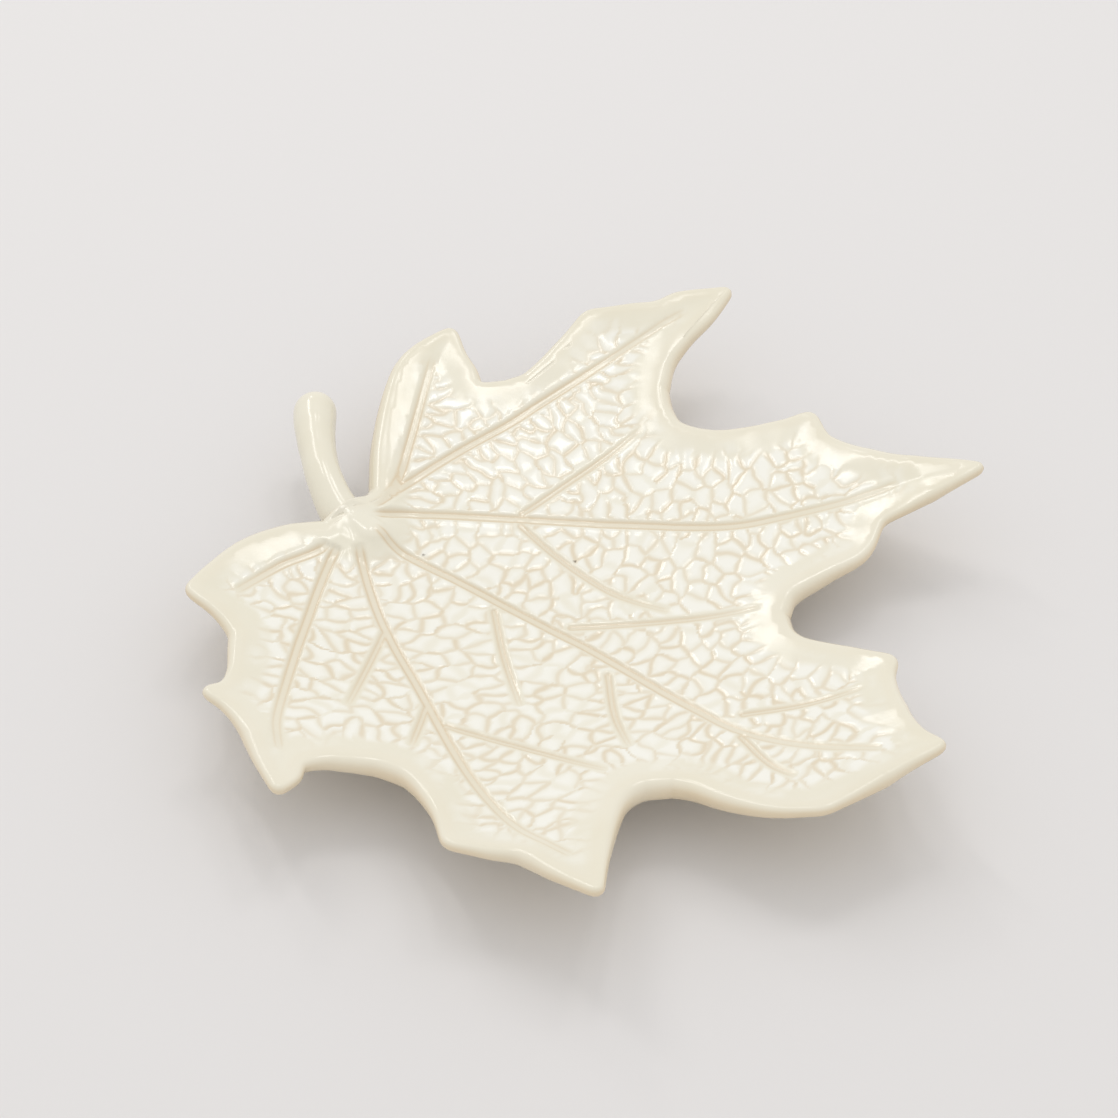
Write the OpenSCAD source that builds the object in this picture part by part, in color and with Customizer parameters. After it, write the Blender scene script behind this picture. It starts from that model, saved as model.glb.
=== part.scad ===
// A ring dish in the shape of a maple leaf: a clay slab cut to the leaf's outline and sagged into a
// shallow mould, a rolled stalk luted on where the veins meet, and a foot ring luted on underneath.
// The dish stands on z = 0, and the origin is below the middle of its bounding box.
// Seen from above, the seven lobes follow each other clockwise from the stalk.

/* [Leaf slab] */
// Thickness of the clay slab, whose edge is rounded by half of it
slab_t = 4.8; // [4:0.2:5.6]
// Height of the slab's top face at its lowest point
floor_h = 7; // [6.6:0.2:8]
// Radius of the shallow mould that the slab sagged into
mould_r = 212; // [190:2:260]
// Extra lift of the rim above the mould's curve
rim_lift = 0.8; // [0:0.1:1.5]
// Distance from the rim over which the lift fades out
rim_reach = 5; // [4:0.5:8]
// Share of its thickness that the slab loses at a tip or a tooth
tip_thinning = 0.55; // [0.4:0.05:0.6]

/* [Veins] */
// Depth of the seven main veins, pressed into the top face
vein_depth = 0.5; // [0.2:0.1:0.8]
// Distance from the middle of a main vein to its shoulder
vein_half = 1.4; // [1:0.1:2]
// Depth of the ten side veins where they leave a main vein
side_depth = 0.4; // [0.3:0.05:0.6]
// Distance from the middle of a side vein to its shoulder
side_half = 0.9; // [0.7:0.1:1.2]
// Height of the low mound where the veins meet
mound_h = 1.5; // [0:0.1:2]

/* [Stalk] */
// Thickness of the rolled stalk at its free end
stalk_d = 7.6; // [6.6:0.2:7.8]
// How much higher the stalk's axis is at its free end than at the hub
stalk_rise = 2.6; // [0:0.2:5]
// Depth of the flat seat in the leaf that the stalk is luted to
seat_depth = 1.4; // [1:0.1:1.8]
// Half width of that seat
seat_half = 4.6; // [4.5:0.1:5.2]

/* [Foot ring] */
// Outer diameter of the foot ring
foot_d = 52; // [44:1:52]
// Width of the ring, seen from below
foot_w = 4.5; // [3.5:0.5:6]

/* [Hidden] */

// Places in the plan are in millimetres, measured at the middle of the rounded edge.
// The hub is where the main veins meet, and the bowl is the lowest point of the dish.
hub = [-43.6, 20.9];
bowl = [-5.6, 2.9];
// How far the mould's curve lifts the slab at a place in the plan
function lift(p) = (p - bowl) * (p - bowl) / (2 * mould_r);
// The ring is as high as the slab's underside at its outer edge, and a little more, so that a flat cut
// there is wide enough for it
flat_cut = 0.2;
foot_h = floor_h - slab_t + pow(foot_d / 2, 2) / (2 * mould_r) + flat_cut;
seat_h = floor_h + lift(hub) - seat_depth;

// Each lobe holds its stations, its vein, its flank up to the tip and its flank down from the tip.
// A flank is one arc or more, and the arcs meet at a tooth.
basal_left = [12,
    [hub, [-41.6, 24.3], [-37, 30.7], [-34.7, 40.5], [-31.9, 55.6], [-30.5, 62.9]],
    [[[-39.6, 29.4], [-39.6, 40.9], [-37.2, 57.6], [-33.9, 64.1], [-26.9, 69.8]]],
    [[[-16.2, 57.1], [-21.7, 56.9], [-23.3, 60.7], [-25.2, 64.4], [-26.9, 69.8]]]];
side_left = [18,
    [hub, [-34.2, 32.2], [-24.7, 41.1], [-14.2, 49], [-4.9, 56.5], [7, 65.6], [19.4, 73.1]],
    [[[-16.2, 57.1], [-11.4, 59.3], [-5.2, 67.2], [-0.3, 74.3]],
     [[-0.3, 74.3], [8.4, 74.8], [13.7, 74.8], [18.1, 76.6], [27.9, 77.1]]],
    [[[13.4, 55.4], [15, 62], [18.7, 67.1], [23.7, 71.7], [27.9, 77.1]]]];
main_left = [18,
    [hub, [-33.6, 24.4], [-13.2, 24.9], [8.2, 23.2], [26.6, 21.2], [39.2, 22.6], [58.4, 25.8]],
    [[[13.4, 55.4], [14.3, 50.4], [16.9, 46.2], [24.8, 43.7], [36.6, 45.1], [42.5, 46.7]],
     [[42.5, 46.7], [45.5, 39.5], [56, 32.1], [68.3, 27.6], [73, 25.4]]],
    [[[34, -2.6], [36.1, 2.7], [43.1, 6.9], [50.2, 10.6], [53.8, 18]],
     [[53.8, 18], [65.1, 22.5], [73, 25.4]]]];
middle = [18,
    [hub, [-35.8, 14.9], [-23.7, 8.1], [-9.8, -1.5], [1.7, -10.3], [16.3, -24.4], [26.2, -33.7],
     [37.4, -39.4], [50.4, -43.1]],
    [[[34, -2.6], [35.2, -7.8], [38.1, -11.1], [47.9, -15.5], [53.7, -18.5]],
     [[53.7, -18.5], [52.5, -23.6], [53.6, -33.4], [56.2, -40.1], [59.9, -44.8]]],
    [[[13.9, -45.7], [17.3, -47.3], [23.1, -51.7], [30.7, -55.8], [38.8, -57.5]],
     [[38.8, -57.5], [45.1, -53.7], [52.5, -48.8], [59.9, -44.8]]]];
main_right = [18,
    [hub, [-42.6, 12.2], [-38.3, -3.3], [-30.8, -20.9], [-21.1, -44.6], [-12.3, -59.1], [-3.4, -67.2]],
    [[[13.9, -45.7], [8.4, -46.2], [4.9, -49.2], [2.9, -54.2], [1.4, -64.7], [0.6, -77.2]]],
    [[[-41.6, -41.6], [-36.7, -41.9], [-31.4, -44.7], [-26.8, -53.4], [-24.7, -63.3]],
     [[-24.7, -63.3], [-17.8, -65], [-12.1, -66], [-6.4, -71.3], [0.6, -77.2]]]];
side_right = [12,
    [hub, [-48.1, 10.7], [-52.1, -8.9], [-54.5, -25.4], [-55.1, -34], [-54, -42.3]],
    [[[-41.6, -41.6], [-46.7, -42.3], [-50.3, -44.7], [-51.1, -48.6], [-53.6, -52.8]]],
    [[[-63.4, -16.6], [-63.5, -21.5], [-64.8, -25.6], [-68.1, -28.1]],
     [[-68.1, -28.1], [-63.8, -31.3], [-59.7, -37.3], [-56.9, -45], [-53.6, -52.8]]]];
basal_right = [12,
    [hub, [-49.1, 13.7], [-57, 7.6], [-65.1, -0.9]],
    [[[-63.4, -16.6], [-63.8, -11.4], [-67.7, -6.1], [-73.1, -2.2]]],
    [[[-49.1, 18.5], [-56.2, 16.5], [-64.1, 11], [-69.9, 3.5], [-73.1, -2.2]]]];
LOBES = [basal_left, side_left, main_left, middle, main_right, side_right, basal_right];
// The edge that closes the outline where the stalk sits
stalk_gap = [[-49.1, 18.5], [-46.1, 22.4], [-43.1, 25.4], [-39.6, 29.4]];

function lerp(a, b, t) = a + (b - a) * t;
function unit(v) = v / norm(v);
function last(p) = p[len(p) - 1];

// Direction of a smooth curve at point i of list p
function heading(p, i) =
    let (n = len(p) - 1)
    i == 0 ? unit(p[1] - p[0])
    : i == n ? unit(p[n] - p[n - 1])
    : (p[i + 1] - p[i - 1]) / (norm(p[i + 1] - p[i]) + norm(p[i] - p[i - 1]));

// Point at u, from 0 to 1, of the smooth curve through list p
function through(p, u) =
    let (n = len(p) - 1, s = min(floor(u * n), n - 1), t = u * n - s,
         a = p[s], b = p[s + 1], chord = norm(b - a))
    a * (2 * t^3 - 3 * t^2 + 1) + b * (3 * t^2 - 2 * t^3)
    + chord * (heading(p, s) * (t^3 - 2 * t^2 + t) + heading(p, s + 1) * (t^3 - t^2));

// Point at u of a flank made of arcs that meet at its teeth
function flank(arcs, u) =
    let (k = len(arcs), i = min(floor(u * k), k - 1))
    through(arcs[i], u * k - i);

// The edge, up and down each lobe and along the gap for the stalk
EDGE = [for (l = LOBES) each [for (j = [0:l[0] - 1]) flank(l[2], j / l[0]),
                              for (j = [l[0]:-1:1]) flank(l[3], j / l[0])],
        for (i = [0:len(stalk_gap) - 2]) stalk_gap[i]];
N = len(EDGE);

// Outward normal of the edge at point i; the edge runs clockwise, so outside is on its left
function normal(i) =
    let (t = unit(unit(EDGE[i] - EDGE[(i + N - 1) % N]) + unit(EDGE[(i + 1) % N] - EDGE[i])))
    [-t[1], t[0]];

// Distance in the plan from a place to the edge
function to_segment(p, a, b) =
    let (ab = b - a, t = max(0, min(1, ((p - a) * ab) / (ab * ab))))
    norm(p - a - ab * t);
function to_edge(p) = min([for (i = [0:N - 1]) to_segment(p, EDGE[i], EDGE[(i + 1) % N])]);

// Tips and teeth, where the slab is pinched thinner, and how far from them the pinch reaches
POINTS = [for (l = LOBES) each [last(last(l[2])),
                                if (len(l[2]) > 1) last(l[2][0]),
                                if (len(l[3]) > 1) last(l[3][0])]];
pinch_reach = 17;
function half_t(p) =
    let (d = min([for (q = POINTS) norm(p - q)]))
    slab_t / 2 * (1 - tip_thinning * exp(-pow(d / pinch_reach, 2)));

// Height of the slab's middle at a place that lies d inside the edge
function middle_h(p, d) = floor_h - slab_t / 2 + lift(p) + rim_lift * exp(-pow(d / rim_reach, 2));

// How near a place is to the hub, from 0 far away to 1. The clay swells there, and the veins fade out.
mound_reach = 6;
function near_hub(p) = exp(-pow(norm(p - hub) / mound_reach, 2));
function top_h(p, d) = middle_h(p, d) + half_t(p) + mound_h * near_hub(p);

// Twice the area of a triangle in the plan, negative where its corners run clockwise
function turning(a, b, c) = (b[0] - a[0]) * (c[1] - a[1]) - (b[1] - a[1]) * (c[0] - a[0]);

// Whether place s looks squarely at the next steps of flank p from its point i; side is -1 on the way
// up a lobe and 1 on the way down
graze = 0.12;
function squarely(p, q, s, side) = side * turning(p, q, s) > graze * norm(q - p) * norm(s - p);
function sees(s, p, i, steps, side) =
    let (to = min(i + steps, len(p) - 1))
    min(concat(1, [for (j = i; j < to; j = j + 1) squarely(p[j], p[j + 1], s, side) ? 1 : 0])) == 1;

// The slab is cut along lines from its edge to its veins. These pair point i of flank p with point k of
// vein s, from notch and hub to tip, so that no two lines cross: each next line moves on along the
// flank or along the vein, wherever it is seen squarely and shorter.
look_ahead = 3;
function pairs(p, s, side, i = 0, k = 0) =
    let (step = i < len(p) - 1, slide = k < len(s) - 1,
         step_ok = sees(s[k], p, i, 1, side),
         slide_ok = slide ? sees(s[k + 1], p, i, look_ahead, side) && side * turning(p[i], s[k + 1], s[k]) > 0
             : false,
         shorter = step && slide ? norm(p[i + 1] - s[k]) <= norm(p[i] - s[k + 1]) : step,
         flank_next = step && slide ? (step_ok && slide_ok ? shorter : step_ok) : step)
    step || slide ? concat([[i, k]], pairs(p, s, side, flank_next ? i + 1 : i, flank_next ? k : k + 1))
    : [[i, k]];

// Lines of a lobe whose first edge point is point first of the edge, each as an edge point's number and
// the vein's point that it runs to
function lobe_lines(l, first) =
    let (n = l[0], m = n / 2, vein = [for (k = [0:m]) through(l[1], k / m)],
         up = pairs([for (j = [0:n]) flank(l[2], j / n)], vein, -1),
         down = pairs([for (j = [0:n]) flank(l[3], j / n)], vein, 1))
    [for (i = [0:len(up) - 2]) [first + up[i][0], vein[up[i][1]]],
     for (i = [len(down) - 1:-1:1]) [first + 2 * n - down[i][0], vein[down[i][1]]]];
function first_point(k) = k == 0 ? 0 : first_point(k - 1) + 2 * LOBES[k - 1][0];
LINES = [for (k = [0:len(LOBES) - 1]) each lobe_lines(LOBES[k], first_point(k)),
         for (i = [first_point(len(LOBES)):N - 1]) [i, hub]];

// A cut along one line: from below the vein along the underside, round the edge, and back over the top
// to the vein's shoulder and its groove. Near the edge its places are a fixed way in, but on a short
// line no more than a share of it; the others are shares of the line.
NEAR_EDGE = [[2, 0.15], [5, 0.35]];
FURTHER_IN = [0.55, 0.78];
ROUND = [-45, 0, 45];
widest_shoulder = 0.1;
// A vein is pressed to its full depth where it is this far inside the edge
full_press = 4;
function on_top(q) = [q[0], q[1], top_h(q, to_edge(q))];
function on_underside(q) = [q[0], q[1], middle_h(q, to_edge(q)) - half_t(q)];
function on_edge(i, angle) =
    let (p = EDGE[i], r = half_t(p), q = p + normal(i) * r * cos(angle))
    [q[0], q[1], middle_h(p, 0) + r * sin(angle)];
function groove(s) =
    on_top(s) - [0, 0, vein_depth * min(1, to_edge(s) / full_press) * (1 - near_hub(s))];
function cut(line) =
    let (p = EDGE[line[0]], s = line[1], run = norm(s - p),
         shoulder = 1 - min(widest_shoulder, vein_half / run),
         ways = concat([for (w = NEAR_EDGE) min(w[0] / run, w[1])], FURTHER_IN))
    [on_underside(s),
     for (k = [len(ways) - 1:-1:0]) on_underside(lerp(p, s, ways[k])),
     on_underside(p),
     for (angle = ROUND) on_edge(line[0], angle),
     on_top(p),
     for (t = concat(ways, shoulder)) on_top(lerp(p, s, t)),
     groove(s)];
ROWS = 2 * (len(NEAR_EDGE) + len(FURTHER_IN) + 2) + len(ROUND) + 1;

module leaf_slab() {
    points = [for (line = LINES) each cut(line)];
    // Each cell between two lines and two rows is halved along the diagonal that leaves no fold, and a
    // half whose corners meet is left out
    half = function (a, b, c)
        points[a] == points[b] || points[b] == points[c] || points[c] == points[a] ? [] : [[a, b, c]];
    faces = [for (i = [0:len(LINES) - 1], j = [0:ROWS - 2])
        let (a = i * ROWS + j, b = (i + 1) % len(LINES) * ROWS + j,
             even = turning(points[a], points[b], points[b + 1])
                 * turning(points[a], points[b + 1], points[a + 1]) > 0)
        each even ? concat(half(a, b, b + 1), half(a, b + 1, a + 1))
                  : concat(half(a, b, a + 1), half(b, b + 1, a + 1))];
    polyhedron(points, faces, convexity = 8);
}

// Side veins, each from its main vein outwards
SIDE_VEINS = [
    [[-12.9, 26.2], [-4.4, 33.7], [3.3, 40.2], [10.5, 47]],
    [[-13, 23.2], [-8.3, 17.8], [-2.7, 12], [3.9, 6.1], [9, 3.2], [15, 0.4]],
    [[-3.7, -2.8], [7.7, -2.2], [19.7, -1.7], [31.8, -0.4]],
    [[26.5, -28.9], [36.5, -28], [45.2, -25.8], [48.7, -25.1]],
    [[25.9, -35], [30.5, -43.3], [35.3, -47.8]],
    [[2.9, -15.6], [4, -27], [6.7, -36.5]],
    [[-17.8, 1.3], [-16, -10], [-12.6, -24.9]],
    [[-37.6, -6.6], [-43.4, -27.9]],
    [[-29.4, -25.7], [-31.8, -37.9]],
    [[-25.8, -30.6], [-11.1, -36.2], [3.3, -42.6]]];
// Share of its width and depth that a side vein keeps at its outer end
side_end = 0.45;
side_stations = 8;

// Wedge that presses one side vein: its sloping sides meet the top face at the vein's shoulders and run
// on upwards to stand clear of it
module side_vein(line) {
    proud = 0.5;
    step = 0.02;
    section = function (u)
        let (p = through(line, u), h = top_h(p, to_edge(p)),
             q = unit(through(line, min(1, u + step)) - through(line, max(0, u - step))),
             size = lerp(1, side_end, u), deep = side_depth * size,
             n = [-q[1], q[0]] * side_half * size * (deep + proud) / deep,
             left = p + n, right = p - n)
        [[left[0], left[1], h + proud], [p[0], p[1], h - deep], [right[0], right[1], h + proud]];
    points = [for (i = [0:side_stations]) each section(i / side_stations)];
    end = 3 * side_stations;
    sides = [for (i = [0:side_stations - 1], k = [0:2])
        let (a = 3 * i + k, b = 3 * i + (k + 1) % 3)
        each [[a, b, b + 3], [a, b + 3, a + 3]]];
    polyhedron(points, concat([[0, 2, 1], [end, end + 1, end + 2]], sides), convexity = 4);
}

// Plan of the stalk's seat: half round at the hub, and open towards the side where the stalk leaves
seat_angle = 132;
seat_corners = 12;
seat_run = 10;
function turn(r, a) = [r * cos(a), r * sin(a)];
module seat_plan() {
    round_end = [for (k = [0:seat_corners]) turn(seat_half, seat_angle + 90 + 180 * k / seat_corners)];
    far_end = [for (side = [-1, 1]) turn(seat_run, seat_angle) + turn(seat_half, seat_angle + side * 90)];
    translate(hub) polygon(concat(round_end, far_end));
}

// The pressed leaf, with a flat for the foot ring below, and the stalk's seat and the side veins above
flat_margin = 4;
clear = 10;
module leaf_dish() {
    color("#ece6d2") difference() {
        leaf_slab();
        translate([bowl[0], bowl[1], foot_h - clear])
            cylinder(d = foot_d + 2 * flat_margin, h = clear, $fn = 96);
        translate([0, 0, seat_h]) linear_extrude(clear) seat_plan();
        for (line = SIDE_VEINS) side_vein(line);
    }
}

// The stalk's axis from its free end to just past the hub
stalk_path = [[-53, 51.9], [-52.6, 43.9], [-51.6, 36.9], [-49.8, 29.9], [-46.6, 23.7], [-41.2, 18.3]];
stalk_len = norm(last(stalk_path) - stalk_path[0]);
stalk_sides = 24;
stalk_rings = 18;
// The coil's girth along its axis: a knob at the free end, a waist, and a wider and flatter foot that was
// thumbed down at the hub
GIRTH = [[0, 1.1], [0.1, 1.1], [0.3, 0.97], [0.45, 0.91], [0.65, 0.95], [0.8, 1.03], [1, 1.1]];
flatter = 0.82;
// Height of its axis above the seat at the hub, as a share of its half thickness
bedding = 0.68;
function stalk_heading(u) =
    let (step = 0.01)
    unit(through(stalk_path, min(1, u + step)) - through(stalk_path, max(0, u - step)));
function stalk_ring(u, share) =
    let (p = through(stalk_path, u), q = stalk_heading(u), n = [-q[1], q[0]],
         w = stalk_d / 2 * lookup(u, GIRTH) * share, h = w * lerp(1, flatter, u),
         axis_h = seat_h + bedding * stalk_d / 2 + stalk_rise * (1 - u))
    [for (k = [0:stalk_sides - 1])
        let (a = 360 * k / stalk_sides, side = p + n * w * cos(a))
        [side[0], side[1], max(seat_h, axis_h + h * sin(a))]];

// The rolled stalk with rounded ends, flattened where it lies on its seat
module stalk() {
    // Share of the full thickness at each ring of a rounded end, and how far along the path the end is
    shares = [0.15, 0.4, 0.65, 0.85, 0.97];
    cap = stalk_d / 2 / stalk_len;
    free_end = [for (k = shares) [cap * (1 - sqrt(1 - k * k)), k]];
    body = [for (k = [0:stalk_rings]) [lerp(cap, 1 - cap, k / stalk_rings), 1]];
    hub_end = [for (i = [len(free_end) - 1:-1:0]) [1 - free_end[i][0], free_end[i][1]]];
    along = concat(free_end, body, hub_end);
    n = stalk_sides;
    last_ring = (len(along) - 1) * n;
    sides = [for (i = [0:len(along) - 2], k = [0:n - 1])
        let (a = i * n + k, b = i * n + (k + 1) % n)
        each [[a, b + n, b], [a, a + n, b + n]]];
    ends = [for (k = [1:n - 2])
        each [[0, k, k + 1], [last_ring, last_ring + k + 1, last_ring + k]]];
    points = [for (r = along) each stalk_ring(r[0], r[1])];
    color("#e9e2cc") polyhedron(points, concat(sides, ends), convexity = 4);
}

// The unglazed ring that the dish stands on, its lower corners taken off
module foot_ring() {
    corner = 1;
    outer = foot_d / 2;
    inner = outer - foot_w;
    color("#cdb894") translate([bowl[0], bowl[1], 0]) rotate_extrude($fn = 128)
        polygon([[inner, foot_h], [inner, corner], [inner + corner, 0],
                 [outer - corner, 0], [outer, corner], [outer, foot_h]]);
}

leaf_dish();
stalk();
foot_ring();
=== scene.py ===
import math

import bpy
import numpy as np
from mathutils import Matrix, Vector, kdtree, noise


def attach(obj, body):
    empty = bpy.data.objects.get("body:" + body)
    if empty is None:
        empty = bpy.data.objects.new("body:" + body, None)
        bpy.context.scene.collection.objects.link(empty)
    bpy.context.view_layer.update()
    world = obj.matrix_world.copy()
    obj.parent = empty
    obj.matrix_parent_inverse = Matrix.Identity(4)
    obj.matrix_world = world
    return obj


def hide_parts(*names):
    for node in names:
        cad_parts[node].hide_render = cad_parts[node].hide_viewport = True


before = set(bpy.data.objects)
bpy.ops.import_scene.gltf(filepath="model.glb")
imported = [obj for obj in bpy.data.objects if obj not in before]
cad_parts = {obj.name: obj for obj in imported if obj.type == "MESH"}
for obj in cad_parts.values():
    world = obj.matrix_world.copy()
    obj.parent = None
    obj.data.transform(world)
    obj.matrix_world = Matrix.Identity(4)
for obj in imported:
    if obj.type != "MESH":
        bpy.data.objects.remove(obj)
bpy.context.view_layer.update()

# The leaf dish is a clay slab, rolled out, pressed face down on a real maple leaf so that its veins and
# its net sink into the clay, cut round the leaf, and sagged into a shallow mould. Its edge is rounded
# with a wet sponge, and the glaze pools tan in the lines and thins to a warmer tone round the edge.
MM = 0.001
hub = np.array((-43.6, 20.9))
bowl = np.array((-5.6, 2.9))
floor_height = 7.0
slab = 4.8
mould_radius = 212.0
rim_lift = 0.8
rim_reach = 5.0
thinning = 0.55
pinch_reach = 17.0
foot_flat = 3.99
mound = 1.5
mound_reach = 6.0

# Each lobe: its main vein, its flank up to the tip and its flank down from the tip; arcs meet at teeth
lobes = [
    ([hub, (-41.6, 24.3), (-37, 30.7), (-34.7, 40.5), (-31.9, 55.6), (-30.5, 62.9)],
     [[(-39.6, 29.4), (-39.6, 40.9), (-37.2, 57.6), (-33.9, 64.1), (-26.9, 69.8)]],
     [[(-16.2, 57.1), (-21.7, 56.9), (-23.3, 60.7), (-25.2, 64.4), (-26.9, 69.8)]]),
    ([hub, (-34.2, 32.2), (-24.7, 41.1), (-14.2, 49), (-4.9, 56.5), (7, 65.6), (19.4, 73.1)],
     [[(-16.2, 57.1), (-11.4, 59.3), (-5.2, 67.2), (-0.3, 74.3)],
      [(-0.3, 74.3), (8.4, 74.8), (13.7, 74.8), (18.1, 76.6), (27.9, 77.1)]],
     [[(13.4, 55.4), (15, 62), (18.7, 67.1), (23.7, 71.7), (27.9, 77.1)]]),
    ([hub, (-33.6, 24.4), (-13.2, 24.9), (8.2, 23.2), (26.6, 21.2), (39.2, 22.6), (58.4, 25.8)],
     [[(13.4, 55.4), (14.3, 50.4), (16.9, 46.2), (24.8, 43.7), (36.6, 45.1), (42.5, 46.7)],
      [(42.5, 46.7), (45.5, 39.5), (56, 32.1), (68.3, 27.6), (73, 25.4)]],
     [[(34, -2.6), (36.1, 2.7), (43.1, 6.9), (50.2, 10.6), (53.8, 18)],
      [(53.8, 18), (65.1, 22.5), (73, 25.4)]]),
    ([hub, (-35.8, 14.9), (-23.7, 8.1), (-9.8, -1.5), (1.7, -10.3), (16.3, -24.4), (26.2, -33.7),
      (37.4, -39.4), (50.4, -43.1)],
     [[(34, -2.6), (35.2, -7.8), (38.1, -11.1), (47.9, -15.5), (53.7, -18.5)],
      [(53.7, -18.5), (52.5, -23.6), (53.6, -33.4), (56.2, -40.1), (59.9, -44.8)]],
     [[(13.9, -45.7), (17.3, -47.3), (23.1, -51.7), (30.7, -55.8), (38.8, -57.5)],
      [(38.8, -57.5), (45.1, -53.7), (52.5, -48.8), (59.9, -44.8)]]),
    ([hub, (-42.6, 12.2), (-38.3, -3.3), (-30.8, -20.9), (-21.1, -44.6), (-12.3, -59.1), (-3.4, -67.2)],
     [[(13.9, -45.7), (8.4, -46.2), (4.9, -49.2), (2.9, -54.2), (1.4, -64.7), (0.6, -77.2)]],
     [[(-41.6, -41.6), (-36.7, -41.9), (-31.4, -44.7), (-26.8, -53.4), (-24.7, -63.3)],
      [(-24.7, -63.3), (-17.8, -65), (-12.1, -66), (-6.4, -71.3), (0.6, -77.2)]]),
    ([hub, (-48.1, 10.7), (-52.1, -8.9), (-54.5, -25.4), (-55.1, -34), (-54, -42.3)],
     [[(-41.6, -41.6), (-46.7, -42.3), (-50.3, -44.7), (-51.1, -48.6), (-53.6, -52.8)]],
     [[(-63.4, -16.6), (-63.5, -21.5), (-64.8, -25.6), (-68.1, -28.1)],
      [(-68.1, -28.1), (-63.8, -31.3), (-59.7, -37.3), (-56.9, -45), (-53.6, -52.8)]]),
    ([hub, (-49.1, 13.7), (-57, 7.6), (-65.1, -0.9)],
     [[(-63.4, -16.6), (-63.8, -11.4), (-67.7, -6.1), (-73.1, -2.2)]],
     [[(-49.1, 18.5), (-56.2, 16.5), (-64.1, 11), (-69.9, 3.5), (-73.1, -2.2)]]),
]
stalk_gap = [(-49.1, 18.5), (-46.1, 22.4), (-43.1, 25.2), (-40.9, 26.8), (-39.6, 29.4)]
side_veins = [
    [(-12.9, 26.2), (-4.4, 33.7), (3.3, 40.2), (10.5, 47)],
    [(-13, 23.2), (-8.3, 17.8), (-2.7, 12), (3.9, 6.1), (9, 3.2), (15, 0.4)],
    [(-3.7, -2.8), (7.7, -2.2), (19.7, -1.7), (31.8, -0.4)],
    [(26.5, -28.9), (36.5, -28), (45.2, -25.8), (48.7, -25.1)],
    [(25.9, -35), (30.5, -43.3), (35.3, -47.8)],
    [(2.9, -15.6), (4, -27), (6.7, -36.5)],
    [(-17.8, 1.3), (-16, -10), (-12.6, -24.9)],
    [(-37.6, -6.6), (-43.4, -27.9)],
    [(-29.4, -25.7), (-31.8, -37.9)],
    [(-25.8, -30.6), (-11.1, -36.2), (3.3, -42.6)],
]


def heading(points, i):
    # The direction of a line at its point i
    n = len(points) - 1
    if 0 < i < n:
        span = np.linalg.norm(points[i + 1] - points[i]) + np.linalg.norm(points[i] - points[i - 1])
        return (points[i + 1] - points[i - 1]) / span
    step = points[1] - points[0] if i == 0 else points[n] - points[n - 1]
    return step / np.linalg.norm(step)


def smooth_line(points, per_span=24):
    # A smooth curve through the points
    points = [np.array(p, float) for p in points]
    out = []
    for i in range(len(points) - 1):
        a, b = points[i], points[i + 1]
        chord = np.linalg.norm(b - a)
        for t in np.arange(per_span) / per_span:
            out.append(a * (2 * t**3 - 3 * t**2 + 1) + b * (3 * t**2 - 2 * t**3)
                       + chord * (heading(points, i) * (t**3 - 2 * t**2 + t)
                                  + heading(points, i + 1) * (t**3 - t**2)))
    return np.array(out + [points[-1]])


def spaced(line, step):
    # The same line with its points at even steps
    along = np.concatenate(([0], np.cumsum(np.linalg.norm(np.diff(line, axis=0), axis=1))))
    marks = np.linspace(0, along[-1], max(2, int(round(along[-1] / step)) + 1))
    return np.stack([np.interp(marks, along, line[:, k]) for k in (0, 1)], 1)


def fade(a, b, x):
    # 0 before a and 1 past b, or the other way round where b is the smaller
    t = np.clip((x - a) / (b - a), 0, 1)
    return t * t * (3 - 2 * t)


# The middle line of the rounded edge, clockwise from the stalk, with its tips and teeth worn round
edge_step = 0.62
worn_round = 2.0
edge = []
for vein, up, down in lobes:
    edge += [smooth_line(arc)[:-1] for arc in up]
    edge += [smooth_line(arc)[:0:-1] for arc in reversed(down)]
edge.append(smooth_line(stalk_gap, 6)[:-1])
edge = np.concatenate(edge)
edge = spaced(np.concatenate([edge, edge[:1]]), edge_step)[:-1]
stations = len(edge)
tips = []
for vein, up, down in lobes:
    tips.append(up[-1][-1])
    tips += [flank[0][-1] for flank in (up, down) if len(flank) > 1]
tips = np.array(tips, float)
near_tip = np.linalg.norm(edge[:, None] - tips[None], axis=2).min(1) < worn_round
for _ in range(7):
    softer = (np.roll(edge, 1, 0) + 2 * edge + np.roll(edge, -1, 0)) / 4
    edge[near_tip] = softer[near_tip]
along = np.roll(edge, -1, 0) - np.roll(edge, 1, 0)
outward = np.stack([-along[:, 1], along[:, 0]], 1)
for _ in range(3):
    outward = (np.roll(outward, 1, 0) + 2 * outward + np.roll(outward, -1, 0)) / 4
outward /= np.linalg.norm(outward, axis=1)[:, None]
edge_tree = kdtree.KDTree(stations)
for i, (x, y) in enumerate(edge):
    edge_tree.insert((x, y, 0), i)
edge_tree.balance()


def to_edge(places):
    # How far inside the edge each place lies, below zero outside it, and the direction away from the edge
    near = np.array([edge_tree.find((x, y, 0))[1] for x, y in places])
    best, gap = np.full(len(places), 1e3), np.zeros((len(places), 2))
    for start in (near - 1, near):
        a, b = edge[start % stations], edge[(start + 1) % stations]
        share = np.clip(((places - a) * (b - a)).sum(1) / ((b - a) ** 2).sum(1), 0, 1)
        step = places - a - (b - a) * share[:, None]
        far = np.linalg.norm(step, axis=1)
        closer = far < best
        best[closer], gap[closer] = far[closer], step[closer]
    side = np.where((gap * outward[near]).sum(1) < 0, 1, -1)
    return best * side, gap / np.maximum(best, 1e-6)[:, None]


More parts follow.
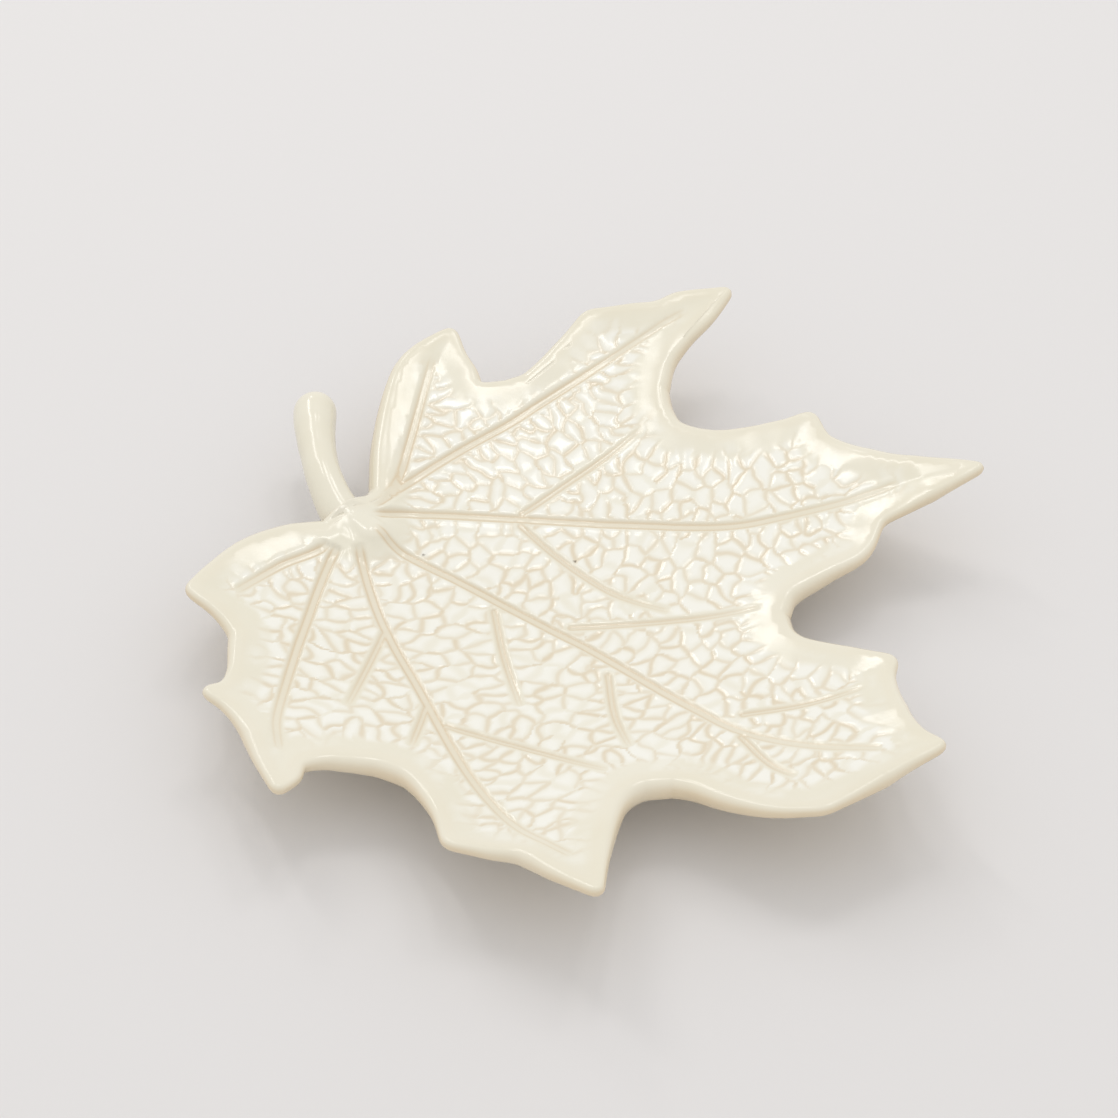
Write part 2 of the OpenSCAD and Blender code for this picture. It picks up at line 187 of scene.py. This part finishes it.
def to_line(places, line):
    # Distance from a line, how far along it from 0 to 1, and the direction away from it
    a, ab = line[:-1], np.diff(line, axis=0)
    far, part, away = np.empty(len(places)), np.empty(len(places)), np.empty((len(places), 2))
    for s in range(0, len(places), 4000):
        p = places[s:s + 4000, None]
        t = np.clip(((p - a) * ab).sum(2) / (ab * ab).sum(1), 0, 1)
        gap = p - a - ab * t[..., None]
        size = np.sqrt((gap * gap).sum(2))
        k = size.argmin(1)
        row = np.arange(len(k))
        far[s:s + 4000] = size[row, k]
        part[s:s + 4000] = (k + t[row, k]) / len(ab)
        away[s:s + 4000] = gap[row, k] / np.maximum(size[row, k], 1e-6)[:, None]
    return far, part, away


def half_slab(places):
    # Half the slab's thickness, which is pinched thin round the tips
    d = np.linalg.norm(places[:, None] - tips[None], axis=2).min(1)
    return slab / 2 * (1 - thinning * np.exp(-(d / pinch_reach) ** 2))


def middle_height(places, depth):
    # Height of the slab's middle: the sag of the mould, lifted a little at the edge
    sag = ((places - bowl) ** 2).sum(1) / (2 * mould_radius)
    return floor_height - slab / 2 + sag + rim_lift * np.exp(-(np.maximum(depth, 0) / rim_reach) ** 2)


def ripple(places, size, seed):
    # Uneven clay, from -1 to 1, with humps of the given size
    return np.array([noise.noise((x / size, y / size, seed)) for x, y in places])


def hand_work(places):
    # How far the wetted and thumbed face swells and dips by hand, in millimetres
    return 0.1 * (ripple(places, 10, 3.7) + 0.65 * ripple(places, 4.5, 8.1))


# The stalk's line, girth and top. Its clay is thumbed down into the hub, and the clay of the leaf is
# smoothed up to it and over it in a fillet.
stalk_line = smooth_line([(-53, 51.9), (-52.6, 43.9), (-51.6, 36.9), (-49.8, 29.9), (-46.6, 23.7),
                          (-41.2, 18.3)])
stalk_half = 3.8
stalk_rise = 2.6
stalk_girth = smooth_line([(0, 1.1), (0.1, 1.1), (0.3, 0.97), (0.45, 0.91), (0.65, 0.95), (0.8, 1.08),
                           (1, 1.35)])
seat_depth = 1.4
seat = floor_height + ((hub - bowl) ** 2).sum() / (2 * mould_radius) - seat_depth
hub_rise = 0.6
stalk_root = np.array((-46, 23))
root_reach = 22
fillet_outside = 2.2
fillet_growth = 3.2
fillet_steepness = 0.72
cover = 0.05


def stalk_form(u):
    # Half width and height of the top of the stalk at u, from 0 at the free end to 1 at the hub
    half = stalk_half * np.interp(u, stalk_girth[:, 0], stalk_girth[:, 1])
    rolled = seat + 0.68 * stalk_half + stalk_rise * (1 - u) + half * (1 - 0.18 * u)
    thumbed = fade(0.5, 1, u)
    return half, rolled * (1 - thumbed) + (seat + seat_depth + mound + hub_rise) * thumbed


def smoothed_to_stalk(places, height, covered):
    # How far the clay is drawn up against the stalk, and where it is covered, over the stalk's top
    rise = np.zeros(len(places))
    close = np.linalg.norm(places - stalk_root, axis=1) < root_reach
    far, u, _ = to_line(places[close], stalk_line)
    half, top = stalk_form(u)
    fillet = fillet_outside + fillet_growth * fade(0.6, 1, u)
    centre = top - half - height[close]
    reach = np.sqrt(np.maximum((half + fillet) ** 2 - (fillet - centre) ** 2, 0))
    touch = reach * half / (half + fillet)
    deepest = fillet * (fillet_steepness + 0.28 * covered[close])
    into = np.clip(reach - np.maximum(far, touch), 0, deepest)
    skirt = fillet - np.sqrt(np.maximum(fillet**2 - into**2, 0))
    over = centre + np.sqrt(np.maximum(half**2 - np.minimum(far, touch) ** 2, 0))
    rise[close] = np.where(far < touch, skirt + (over + cover - skirt) * covered[close], skirt)
    return rise


def coordinates(obj):
    co = np.empty(len(obj.data.vertices) * 3)
    obj.data.vertices.foreach_get("co", co)
    return co.reshape(-1, 3) / MM


def set_coordinates(obj, co):
    obj.data.vertices.foreach_set("co", (co * MM).ravel())
    obj.data.update()


def mark(obj, name, kind, values):
    layer = obj.data.attributes.get(name) or obj.data.attributes.new(name, kind, "POINT")
    layer.data.foreach_set("value", values)


def mark_plain(obj, row, thin):
    # Glaze without a vein, a net or a speck
    mark(obj, "row", "INT", row)
    mark(obj, "thin", "FLOAT", thin)
    mark(obj, "vein", "FLOAT", np.ones(len(row)))
    for name in ("veined", "pooled", "pale", "speck"):
        mark(obj, name, "FLOAT", np.zeros(len(row)))


def pick(obj, kind, chosen):
    # Goes into edit mode with only the chosen VERT, EDGE or FACE elements of the mesh selected
    mesh = obj.data
    for part, elements in (("VERT", mesh.vertices), ("EDGE", mesh.edges), ("FACE", mesh.polygons)):
        elements.foreach_set("select", chosen if part == kind else np.zeros(len(elements), bool))
    bpy.context.tool_settings.mesh_select_mode = (kind == "VERT", kind == "EDGE", kind == "FACE")
    bpy.ops.object.mode_set(mode="EDIT")


def sheet(cells, keep):
    # A flat grid over the whole leaf, trimmed to what lies at least that far inside the edge
    bpy.ops.object.select_all(action="DESELECT")
    bpy.ops.mesh.primitive_grid_add(x_subdivisions=cells, y_subdivisions=cells, size=160 * MM)
    obj = bpy.context.object
    depth, _ = to_edge(coordinates(obj)[:, :2])
    pick(obj, "VERT", depth < keep)
    bpy.ops.mesh.delete(type="VERT")
    bpy.ops.mesh.select_all(action="SELECT")
    bpy.ops.mesh.delete_loose(use_faces=False)
    bpy.ops.object.mode_set(mode="OBJECT")
    return obj


# The pressed face, with cells of 1 mm in the smooth border and a third of that where the net is and
# round the root of the stalk
FACE, UNDER = 100, 200
fine_middle = np.array((-46, 24))
fine_reach = 10
fine_depth = 3.2
face = sheet(152, 0.8)
depth, _ = to_edge(coordinates(face)[:, :2])
corners = np.empty(len(face.data.loops), int)
face.data.loops.foreach_get("vertex_index", corners)
starts = np.empty(len(face.data.polygons), int)
face.data.polygons.foreach_get("loop_start", starts)
at_stalk = np.linalg.norm(coordinates(face)[:, :2] - fine_middle, axis=1) < fine_reach
inside = np.where(at_stalk, 9, depth)
pick(face, "FACE", np.minimum.reduceat(inside[corners], starts) > fine_depth)
bpy.ops.mesh.subdivide(number_cuts=2)
bpy.ops.object.mode_set(mode="OBJECT")

places = coordinates(face)[:, :2]
depth, away = to_edge(places)
hub_far = np.linalg.norm(places - hub, axis=1)
surface = middle_height(places, depth) + half_slab(places)

# Main and side veins: a shallow flat bottom between two fine incised lines, with soft shoulders. The
# main ones start at the foot of the mound, at these distances from the hub.
main_lines = [spaced(smooth_line(lobe[0]), 1) for lobe in lobes]
side_lines = [spaced(smooth_line(v), 1) for v in side_veins]
vein_starts = [6.5, 5, 3.8, 5, 7, 8.5, 9]
main_cut = (0.24, 0.62, 1.2)
side_cut = (0.16, 0.36, 0.9)
incision_depth = 0.1
incision_width = 0.28
shoulder_rise = 0.09
vein_near = np.full(len(places), 1e3)
vein_middle = np.full(len(places), 9.0)
vein_strength = np.zeros(len(places))
groove = np.zeros(len(places))
shoulder = np.zeros(len(places))
for k, line in enumerate(main_lines + side_lines):
    main = k < len(main_lines)
    deep, flat, wall = main_cut if main else side_cut
    far, part, _ = to_line(places, line)
    length = len(line) - 1
    taper = (0.45 + 0.55 * fade(1, 0.55, part)) * fade(0, 2.5, (1 - part) * length)
    if main:
        taper *= fade(vein_starts[k] - 1, vein_starts[k] + 1.4, hub_far)
    size = 0.72 + 0.28 * taper
    cut = 1 - fade(flat * size, wall * size, far)
    incised = np.exp(-((far - flat * size) / incision_width) ** 2)
    groove = np.maximum(groove, taper * (deep * cut + incision_depth * incised))
    swollen = np.exp(-((far - wall - 0.4) / 0.5) ** 2)
    shoulder = np.maximum(shoulder, shoulder_rise * taper * swollen)
    closer = far / size - flat < vein_middle
    vein_middle[closer] = (far / size - flat)[closer]
    vein_strength[closer] = (taper * (1 if main else 0.8))[closer]
    vein_near = np.minimum(vein_near, far + 2 * (1 - fade(0, 0.2, taper)))
at_edge = fade(0.6, 2.4, depth)
groove *= at_edge
vein_strength *= at_edge

# The net of fine veins: cells of 3 to 6 mm, drawn out towards the edge near it, some lines missing
draw = np.random.RandomState(11)
pitch = 4.35
scatter = 1.8
across, down = np.meshgrid(np.arange(-20, 21), np.arange(-22, 23), indexing="xy")
seeds = np.stack([(across + 0.5 * (down % 2)) * pitch, down * pitch * 0.87], 2).reshape(-1, 2)
seeds = seeds + draw.uniform(-scatter, scatter, seeds.shape)
seed_depth, seed_away = to_edge(seeds)
keep = seed_depth > 1.5
seeds, seed_depth, seed_away = seeds[keep], seed_depth[keep], seed_away[keep]
off_vein = np.full(len(seeds), 1e3)
from_vein = np.zeros((len(seeds), 2))
for line in main_lines + side_lines:
    far, _, off = to_line(seeds, line)
    closer = far < off_vein
    off_vein[closer], from_vein[closer] = far[closer], off[closer]
at_border = fade(12, 7, seed_depth)[:, None]
lean = at_border * seed_away + (1 - at_border) * from_vein
angle = np.arctan2(lean[:, 1], lean[:, 0]) + draw.normal(0, 0.3, len(seeds))
stretch = 1.12 + 0.25 * at_border[:, 0] + draw.uniform(0, 0.3, len(seeds))
stretch += 0.3 * fade(5, 2, off_vein)
c, s = np.cos(angle), np.sin(angle)
shape_xx = c * c / stretch**2 + s * s * stretch**2
shape_yy = s * s / stretch**2 + c * c * stretch**2
shape_xy = (1 / stretch**2 - stretch**2) * c * s
wander = np.stack([ripple(places, 2.8, 21.3), ripple(places, 2.8, 47.9)], 1) * 0.6
line_gap, chance = np.empty(len(places)), np.empty(len(places))
line_side = np.empty((len(places), 2))
for a in range(0, len(places), 1500):
    x = (places + wander)[a:a + 1500, None] - seeds[None]
    apart = (shape_xx * x[..., 0] ** 2 + 2 * shape_xy * x[..., 0] * x[..., 1]
             + shape_yy * x[..., 1] ** 2)
    row = np.arange(len(apart))
    first = apart.argmin(1)
    nearest = apart[row, first].copy()
    apart[row, first] = 1e9
    second = apart.argmin(1)
    slopes = []
    for k in (first, second):
        dx, dy = x[row, k, 0], x[row, k, 1]
        slopes.append(np.stack([shape_xx[k] * dx + shape_xy[k] * dy,
                                shape_xy[k] * dx + shape_yy[k] * dy], 1))
    side = slopes[1] - slopes[0]
    size = np.maximum(np.linalg.norm(side, axis=1), 1e-6)
    line_gap[a:a + 1500] = (apart[row, second] - nearest) / (2 * size)
    line_side[a:a + 1500] = side / size[:, None]
    low, high = np.minimum(first, second), np.maximum(first, second)
    chance[a:a + 1500] = np.modf(np.abs(np.sin(low * 12.9898 + high * 78.233) * 43758.5453))[0]
strength = np.where(chance < 0.1, 0, 0.45 + 0.55 * chance)
level = np.abs((line_side * away).sum(1))
strength *= 1 - 0.6 * fade(0.6, 0.9, level) * fade(8.5, 6.5, depth)
border = 4.6 + 0.9 * ripple(places, 7, 5.5) + 1.5 * chance
stray = 0.4 * fade(1.8, 3, depth) * fade(-0.1, 0.3, ripple(places, 6, 77.7))
netted = np.maximum(fade(border - 1, border + 1.2, depth), stray)
netted = netted * fade(0.9, 1.7, vein_near) * fade(8, 12, hub_far)
width = 0.62 + 0.22 * chance
lines = strength * netted * (1 - fade(0.05, width, line_gap))
pillow = netted * fade(0.1, 1.7, line_gap)

# Pinholes that the glaze left, each with its place and its size
pinholes = [(-2.9, 14.6, 0.4), (50.3, 15.2, 0.45), (-57.5, 16.2, 0.45), (-31.1, 14.6, 0.35),
            (36.5, -5.5, 0.4)]
specks = np.zeros(len(places))
for x, y, r in pinholes:
    specks = np.maximum(specks, 1 - fade(r * 0.3, r * 1.25, np.hypot(places[:, 0] - x, places[:, 1] - y)))

# At the hub the clay swells into a low mound that runs out in short ridges between the veins
ridge_rise = 0.5
net_depth = 0.12
pinhole_depth = 0.12
cell_rise = 0.06
between = fade(0.3, 1.8, vein_near) * fade(3, 6, hub_far) * fade(13, 7, hub_far) * fade(1, 4, depth)
swell = mound * np.exp(-(hub_far / mound_reach) ** 2) + ridge_rise * between
relief = (hand_work(places) + cell_rise * pillow + shoulder - net_depth * lines - groove
          - pinhole_depth * specks)
height = surface + relief + swell
height += smoothed_to_stalk(places, height, fade(0.5, 4.5, depth))
set_coordinates(face, np.column_stack([places, height]))
mark(face, "row", "INT", np.full(len(places), FACE))
mark(face, "vein", "FLOAT", np.clip(vein_middle, -1, 1))
mark(face, "veined", "FLOAT", vein_strength)
mark(face, "pooled", "FLOAT", lines)
mark(face, "pale", "FLOAT", np.clip(0.35 * netted + 0.65 * pillow, 0, 1))
mark(face, "thin", "FLOAT", 0.12 + 0.12 * fade(3, 0.5, depth))
mark(face, "speck", "FLOAT", specks)

# The rounded edge: a strip of cells wrapped round it from the face to the underside, which rises with
# the clay that is drawn up to the stalk
rim_rows = 9
furthest_out = 78.15
bpy.ops.object.select_all(action="DESELECT")
bpy.ops.mesh.primitive_grid_add(x_subdivisions=stations, y_subdivisions=rim_rows, size=1)
rim = bpy.context.object
flat = coordinates(rim) * MM
i = np.round((flat[:, 0] + 0.5) * stations).astype(int) % stations
j = np.round((flat[:, 1] + 0.5) * rim_rows).astype(int)
turn = np.pi / 2 - np.pi * j / rim_rows
thick = half_slab(edge)[i]
height = (middle_height(edge, np.zeros(stations)) + hand_work(edge))[i] + thick * np.sin(turn)
bulge = edge[i] + outward[i] * (thick * np.cos(turn))[:, None]
bulge = np.clip(bulge, -furthest_out, furthest_out)
height += mound * np.exp(-(np.linalg.norm(bulge - hub, axis=1) / mound_reach) ** 2) * fade(6, 2, j)
crest = middle_height(edge, np.zeros(stations)) + half_slab(edge)
drawn_up = smoothed_to_stalk(edge, crest, np.zeros(stations))
drawn_up = np.mean([np.roll(drawn_up, k) for k in (-2, -1, 0, 1, 2)], 0)
height += drawn_up[i] * fade(6, 0, j)
set_coordinates(rim, np.column_stack([bulge, height]))
mark_plain(rim, j, 0.2 + 0.75 * fade(1, 4, j) * (1 + 0.6 * ripple(bulge, 12, 31.5)))

# The underside, plain and flat where the foot ring is luted on
under = sheet(68, 1.8)
places = coordinates(under)[:, :2]
depth, _ = to_edge(places)
below = np.maximum(middle_height(places, depth) - half_slab(places), foot_flat)
set_coordinates(under, np.column_stack([places, below]))
mark_plain(under, np.full(len(places), UNDER), np.full(len(places), 0.5))

# Put together: the seam of the strip is merged, and the gaps to face and underside are filled
bpy.ops.object.select_all(action="DESELECT")
for obj in (rim, under, face):
    obj.select_set(True)
bpy.context.view_layer.objects.active = face
bpy.ops.object.join()
leaf = bpy.context.object
leaf.name = leaf.data.name = "pressed_leaf"
bpy.ops.object.mode_set(mode="EDIT")
bpy.ops.mesh.select_all(action="SELECT")
bpy.ops.mesh.remove_doubles(threshold=0.001 * MM)
bpy.ops.object.mode_set(mode="OBJECT")
for ends in ((FACE, 0), (UNDER, rim_rows)):
    mesh = leaf.data
    row = np.empty(len(mesh.vertices), int)
    mesh.attributes["row"].data.foreach_get("value", row)
    pairs = np.empty(len(mesh.edges) * 2, int)
    mesh.edges.foreach_get("vertices", pairs)
    pairs = pairs.reshape(-1, 2)
    used = np.empty(len(mesh.loops), int)
    mesh.loops.foreach_get("edge_index", used)
    open_edge = np.bincount(used, minlength=len(pairs)) == 1
    pick(leaf, "EDGE", open_edge & np.isin(row[pairs], ends).all(1))
    bpy.ops.mesh.fill(use_beauty=True)
    bpy.ops.object.mode_set(mode="OBJECT")
bpy.ops.object.mode_set(mode="EDIT")
bpy.ops.mesh.select_all(action="SELECT")
bpy.ops.mesh.normals_make_consistent(inside=False)
bpy.ops.object.mode_set(mode="OBJECT")
bpy.ops.object.shade_smooth()

# Glaze colour: cream, paler where it lies thick, tan where it pools in the lines, warmer where it thins,
# with faint clouds and a few dark specks
glaze_colour = bpy.data.node_groups.new("glaze_colour", "ShaderNodeTree")
glaze_colour.interface.new_socket("Vector", in_out="INPUT", socket_type="NodeSocketVector")
for name in ("Vein", "Veined", "Pooled", "Pale", "Thin", "Speck"):
    glaze_colour.interface.new_socket(name, in_out="INPUT", socket_type="NodeSocketFloat")
glaze_colour.interface.new_socket("Color", in_out="OUTPUT", socket_type="NodeSocketColor")
glaze_colour.interface.new_socket("Roughness", in_out="OUTPUT", socket_type="NodeSocketFloat")
glaze_colour.interface.new_socket("Height", in_out="OUTPUT", socket_type="NodeSocketFloat")
given = glaze_colour.nodes.new("NodeGroupInput").outputs
put = glaze_colour.nodes.new("NodeGroupOutput").inputs


def clouds(tree, vector, scale, detail=3.0):
    # Soft noise, from 0 to 1
    node = tree.nodes.new("ShaderNodeTexNoise")
    node.inputs["Scale"].default_value = scale
    node.inputs["Detail"].default_value = detail
    tree.links.new(vector, node.inputs["Vector"])
    return node.outputs["Fac"]


def span(tree, value, low, high, to_low=0.0, to_high=1.0):
    # Stretches a value from one range to another
    node = tree.nodes.new("ShaderNodeMapRange")
    for socket, number in (("From Min", low), ("From Max", high), ("To Min", to_low), ("To Max", to_high)):
        node.inputs[socket].default_value = number
    tree.links.new(value, node.inputs["Value"])
    return node.outputs["Result"]


def blended(tree, share, first, second):
    # The first colour where the share is 0 and the second where it is 1
    node = tree.nodes.new("ShaderNodeMix")
    node.data_type = "RGBA"
    tree.links.new(share, node.inputs["Factor"])
    for socket, colour in ((node.inputs[6], first), (node.inputs[7], second)):
        if isinstance(colour, tuple):
            socket.default_value = (*colour, 1)
        else:
            tree.links.new(colour, socket)
    return node.outputs[2]


cream = (0.795, 0.76, 0.63)
creamier = (0.82, 0.79, 0.675)
pale_glaze = (0.88, 0.862, 0.785)
tan_pool = (0.725, 0.62, 0.455)
vein_line = (0.70, 0.57, 0.39)
thin_glaze = (0.76, 0.62, 0.42)
dark_speck = (0.12, 0.09, 0.06)
tree = glaze_colour
cloudy = span(tree, clouds(tree, given["Vector"], 70), 0.35, 0.68)
body = blended(tree, cloudy, cream, creamier)
body = blended(tree, span(tree, given["Thin"], 0, 1, 0, 0.8), body, thin_glaze)
body = blended(tree, given["Pale"], body, pale_glaze)
body = blended(tree, span(tree, given["Pooled"], 0.05, 1, 0, 0.9), body, tan_pool)
# Across a vein, Vein runs from below zero on its flat bottom to zero at the fine line at its side
across_vein = tree.nodes.new("ShaderNodeValToRGB")
across_vein.color_ramp.interpolation = "B_SPLINE"
across_vein.color_ramp.elements[0].position = 0
across_vein.color_ramp.elements[0].color = (0.3, 0.3, 0.3, 1)
across_vein.color_ramp.elements[1].position = 1
across_vein.color_ramp.elements[1].color = (0, 0, 0, 1)
for position, amount in ((0.3, 0.25), (0.42, 0.4), (0.5, 1.0), (0.58, 0.7), (0.75, 0.05)):
    stop = across_vein.color_ramp.elements.new(position)
    stop.color = (amount, amount, amount, 1)
tree.links.new(span(tree, given["Vein"], -1, 1), across_vein.inputs["Fac"])
in_vein = tree.nodes.new("ShaderNodeMath")
in_vein.operation = "MULTIPLY"
tree.links.new(across_vein.outputs["Color"], in_vein.inputs[0])
tree.links.new(given["Veined"], in_vein.inputs[1])
body = blended(tree, in_vein.outputs["Value"], body, vein_line)
body = blended(tree, span(tree, given["Speck"], 0.2, 1), body, dark_speck)
tree.links.new(body, put["Color"])
fine = clouds(tree, given["Vector"], 210, 2)
tree.links.new(span(tree, fine, 0.3, 0.7, 0.13, 0.2), put["Roughness"])
tree.links.new(clouds(tree, given["Vector"], 420, 1), put["Height"])


def glazed(name, marks):
    material = bpy.data.materials.new(name)
    material.use_nodes = True
    tree = material.node_tree
    shader = tree.nodes["Principled BSDF"]
    where = tree.nodes.new("ShaderNodeTexCoord")
    colour = tree.nodes.new("ShaderNodeGroup")
    colour.node_tree = glaze_colour
    tree.links.new(where.outputs["Object"], colour.inputs["Vector"])
    colour.inputs["Thin"].default_value = 0.15
    for attribute in marks:
        read = tree.nodes.new("ShaderNodeAttribute")
        read.attribute_name = attribute
        tree.links.new(read.outputs["Fac"], colour.inputs[attribute.capitalize()])
    tree.links.new(colour.outputs["Color"], shader.inputs["Base Color"])
    tree.links.new(colour.outputs["Roughness"], shader.inputs["Roughness"])
    bump = tree.nodes.new("ShaderNodeBump")
    bump.inputs["Strength"].default_value = 0.05
    bump.inputs["Distance"].default_value = 0.2 * MM
    tree.links.new(colour.outputs["Height"], bump.inputs["Height"])
    tree.links.new(bump.outputs["Normal"], shader.inputs["Normal"])
    shader.inputs["IOR"].default_value = 1.52
    return material


leaf.data.materials.clear()
leaf_marks = ("vein", "veined", "pooled", "pale", "thin", "speck")
leaf.data.materials.append(glazed("leaf_glaze", leaf_marks))
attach(leaf, "root")
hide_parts("leaf_dish")

# The stalk is a coil of the same clay, rolled by hand, bent a little to one side and luted to the leaf
# where the veins meet. Its lower end is thumbed down into the mound, and it wears the same glaze.
cap_rows = 9
body_rows = 76
stalk_sides = 56
along = np.concatenate(([0], np.cumsum(np.linalg.norm(np.diff(stalk_line, axis=0), axis=1))))
total = along[-1]
quarter = np.pi / 2 * np.arange(cap_rows) / cap_rows
first_half, last_half = stalk_form(0.0)[0], stalk_form(1.0)[0]
ring_at = np.concatenate((first_half * (1 - np.cos(quarter)),
                          np.linspace(first_half, total - last_half, body_rows + 1),
                          total - last_half * (1 - np.cos(quarter[::-1]))))
ring_share = np.concatenate((np.sin(quarter), np.ones(body_rows + 1), np.sin(quarter[::-1])))
rings = len(ring_at) - 1
bpy.ops.object.select_all(action="DESELECT")
bpy.ops.mesh.primitive_grid_add(x_subdivisions=stalk_sides, y_subdivisions=rings, size=1)
stalk = bpy.context.object
stalk.name = stalk.data.name = "rolled_stalk"
flat = coordinates(stalk) * MM
around = 2 * np.pi * (np.round((flat[:, 0] + 0.5) * stalk_sides) % stalk_sides) / stalk_sides
ring = np.round((flat[:, 1] + 0.5) * rings).astype(int)
u = np.interp(ring_at[ring], along, np.linspace(0, 1, len(stalk_line)))
half, top = stalk_form(u)
axis = np.stack([np.interp(u, np.linspace(0, 1, len(stalk_line)), stalk_line[:, k]) for k in (0, 1)], 1)
slope = np.gradient(stalk_line, axis=0)
slope = np.stack([np.interp(u, np.linspace(0, 1, len(stalk_line)), slope[:, k]) for k in (0, 1)], 1)
slope /= np.linalg.norm(slope, axis=1)[:, None]
sideways = np.stack([-slope[:, 1], slope[:, 0]], 1)
share = ring_share[ring]
share = share * (1 + 0.02 * ripple(np.stack([u * 30, 2 * np.cos(around)], 1), 3, 61.7))
place = axis + sideways * (half * share * np.cos(around))[:, None]
rise = share * np.sin(around)
height = np.maximum(top - half + half * rise, seat + 0.3 * rise)
set_coordinates(stalk, np.column_stack([place, height]))
bpy.ops.object.mode_set(mode="EDIT")
bpy.ops.mesh.select_all(action="SELECT")
bpy.ops.mesh.remove_doubles(threshold=0.002 * MM)
bpy.ops.mesh.normals_make_consistent(inside=False)
bpy.ops.object.mode_set(mode="OBJECT")
bpy.ops.object.shade_smooth()
stalk.data.materials.clear()
stalk.data.materials.append(glazed("stalk_glaze", ()))
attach(stalk, "root")
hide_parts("stalk")

# The foot ring is a low ring of the bare clay, luted under the slab. It is wiped free of glaze so that
# the dish doesn't stick to the kiln shelf, and it is what the dish stands on.
foot_radius = 26.0
foot_width = 4.5
tube = 0.25
squareness = 0.4
bpy.ops.object.select_all(action="DESELECT")
bpy.ops.mesh.primitive_torus_add(major_segments=160, minor_segments=20, major_radius=1, minor_radius=tube)
foot = bpy.context.object
foot.name = foot.data.name = "foot_ring_clay"
co = coordinates(foot) * MM
turn = np.arctan2(co[:, 1], co[:, 0])
out = (np.hypot(co[:, 0], co[:, 1]) - 1) / tube
up = co[:, 2] / tube
square = np.maximum(np.abs(out), np.abs(up)) ** squareness
radius = (foot_radius - foot_width / 2 + out / square * (foot_width / 2 - 0.15)
          + 0.1 * np.sin(3 * turn + 0.6))
height = foot_flat / 2 + np.clip(up * 1.18, -1, 1) * foot_flat / 2
place = bowl + np.stack([radius * np.cos(turn), radius * np.sin(turn)], 1)
set_coordinates(foot, np.column_stack([place, height]))
bpy.ops.object.shade_smooth()
clay = (0.60, 0.47, 0.31)
paler_clay = (0.70, 0.58, 0.41)
bare_clay = bpy.data.materials.new("bare_clay")
bare_clay.use_nodes = True
tree = bare_clay.node_tree
shader = tree.nodes["Principled BSDF"]
where = tree.nodes.new("ShaderNodeTexCoord")
grain = clouds(tree, where.outputs["Object"], 900, 4)
clay_colour = blended(tree, span(tree, grain, 0.3, 0.7), clay, paler_clay)
tree.links.new(clay_colour, shader.inputs["Base Color"])
bump = tree.nodes.new("ShaderNodeBump")
bump.inputs["Strength"].default_value = 0.4
bump.inputs["Distance"].default_value = 0.2 * MM
tree.links.new(grain, bump.inputs["Height"])
tree.links.new(bump.outputs["Normal"], shader.inputs["Normal"])
shader.inputs["Roughness"].default_value = 0.85
foot.data.materials.clear()
foot.data.materials.append(bare_clay)
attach(foot, "root")
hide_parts("foot_ring")

# The studio: a pale board in an evenly bright room, with four narrow windows at the back that give the
# glaze its highlights, and the camera that looks down at the dish as in the photograph
bpy.ops.object.select_all(action="DESELECT")
bpy.ops.mesh.primitive_plane_add(size=6)
board = bpy.context.object
board.name = board.data.name = "pale_board"
pale_paint = bpy.data.materials.new("pale_board")
pale_paint.use_nodes = True
shader = pale_paint.node_tree.nodes["Principled BSDF"]
shader.inputs["Base Color"].default_value = (0.745, 0.725, 0.715, 1)
shader.inputs["Roughness"].default_value = 0.75
shader.inputs["Specular IOR Level"].default_value = 0.2
board.data.materials.append(pale_paint)


def soft_light(name, direction, away, size, brightness):
    # A flat lamp that faces the dish and looks as bright as that number of white surfaces
    lamp = bpy.data.lights.new(name, "AREA")
    lamp.shape = "RECTANGLE"
    lamp.size, lamp.size_y = size
    lamp.energy = brightness * math.pi * size[0] * size[1]
    obj = bpy.data.objects.new(name, lamp)
    bpy.context.scene.collection.objects.link(obj)
    direction = Vector(direction).normalized()
    obj.location = direction * away
    obj.rotation_euler = direction.to_track_quat("Z", "Y").to_euler()


soft_light("left_window", (-0.37, 0.49, 0.788), 1.2, (0.09, 0.6), 7)
soft_light("low_window", (-0.27, 0.74, 0.616), 1.2, (0.1, 0.22), 6)
soft_light("right_window", (0.27, 0.45, 0.85), 1.2, (0.17, 0.2), 5.5)
soft_light("skylight", (0.02, 0.39, 0.92), 1.2, (0.14, 0.3), 6)
world = bpy.data.worlds.new("pale_room")
bpy.context.scene.world = world
world.use_nodes = True
world.node_tree.nodes["Background"].inputs["Color"].default_value = (0.985, 0.985, 0.985, 1)
world.node_tree.nodes["Background"].inputs["Strength"].default_value = 0.9

lens = bpy.data.cameras.new("camera")
lens.lens = 105.07
lens.sensor_width = 36
camera = bpy.data.objects.new("camera", lens)
bpy.context.scene.collection.objects.link(camera)
camera.location = (-0.00588, -0.4233, 0.4307)
camera.rotation_euler = (math.radians(46), 0, 0)
bpy.context.scene.camera = camera
bpy.context.scene.view_settings.view_transform = "Standard"
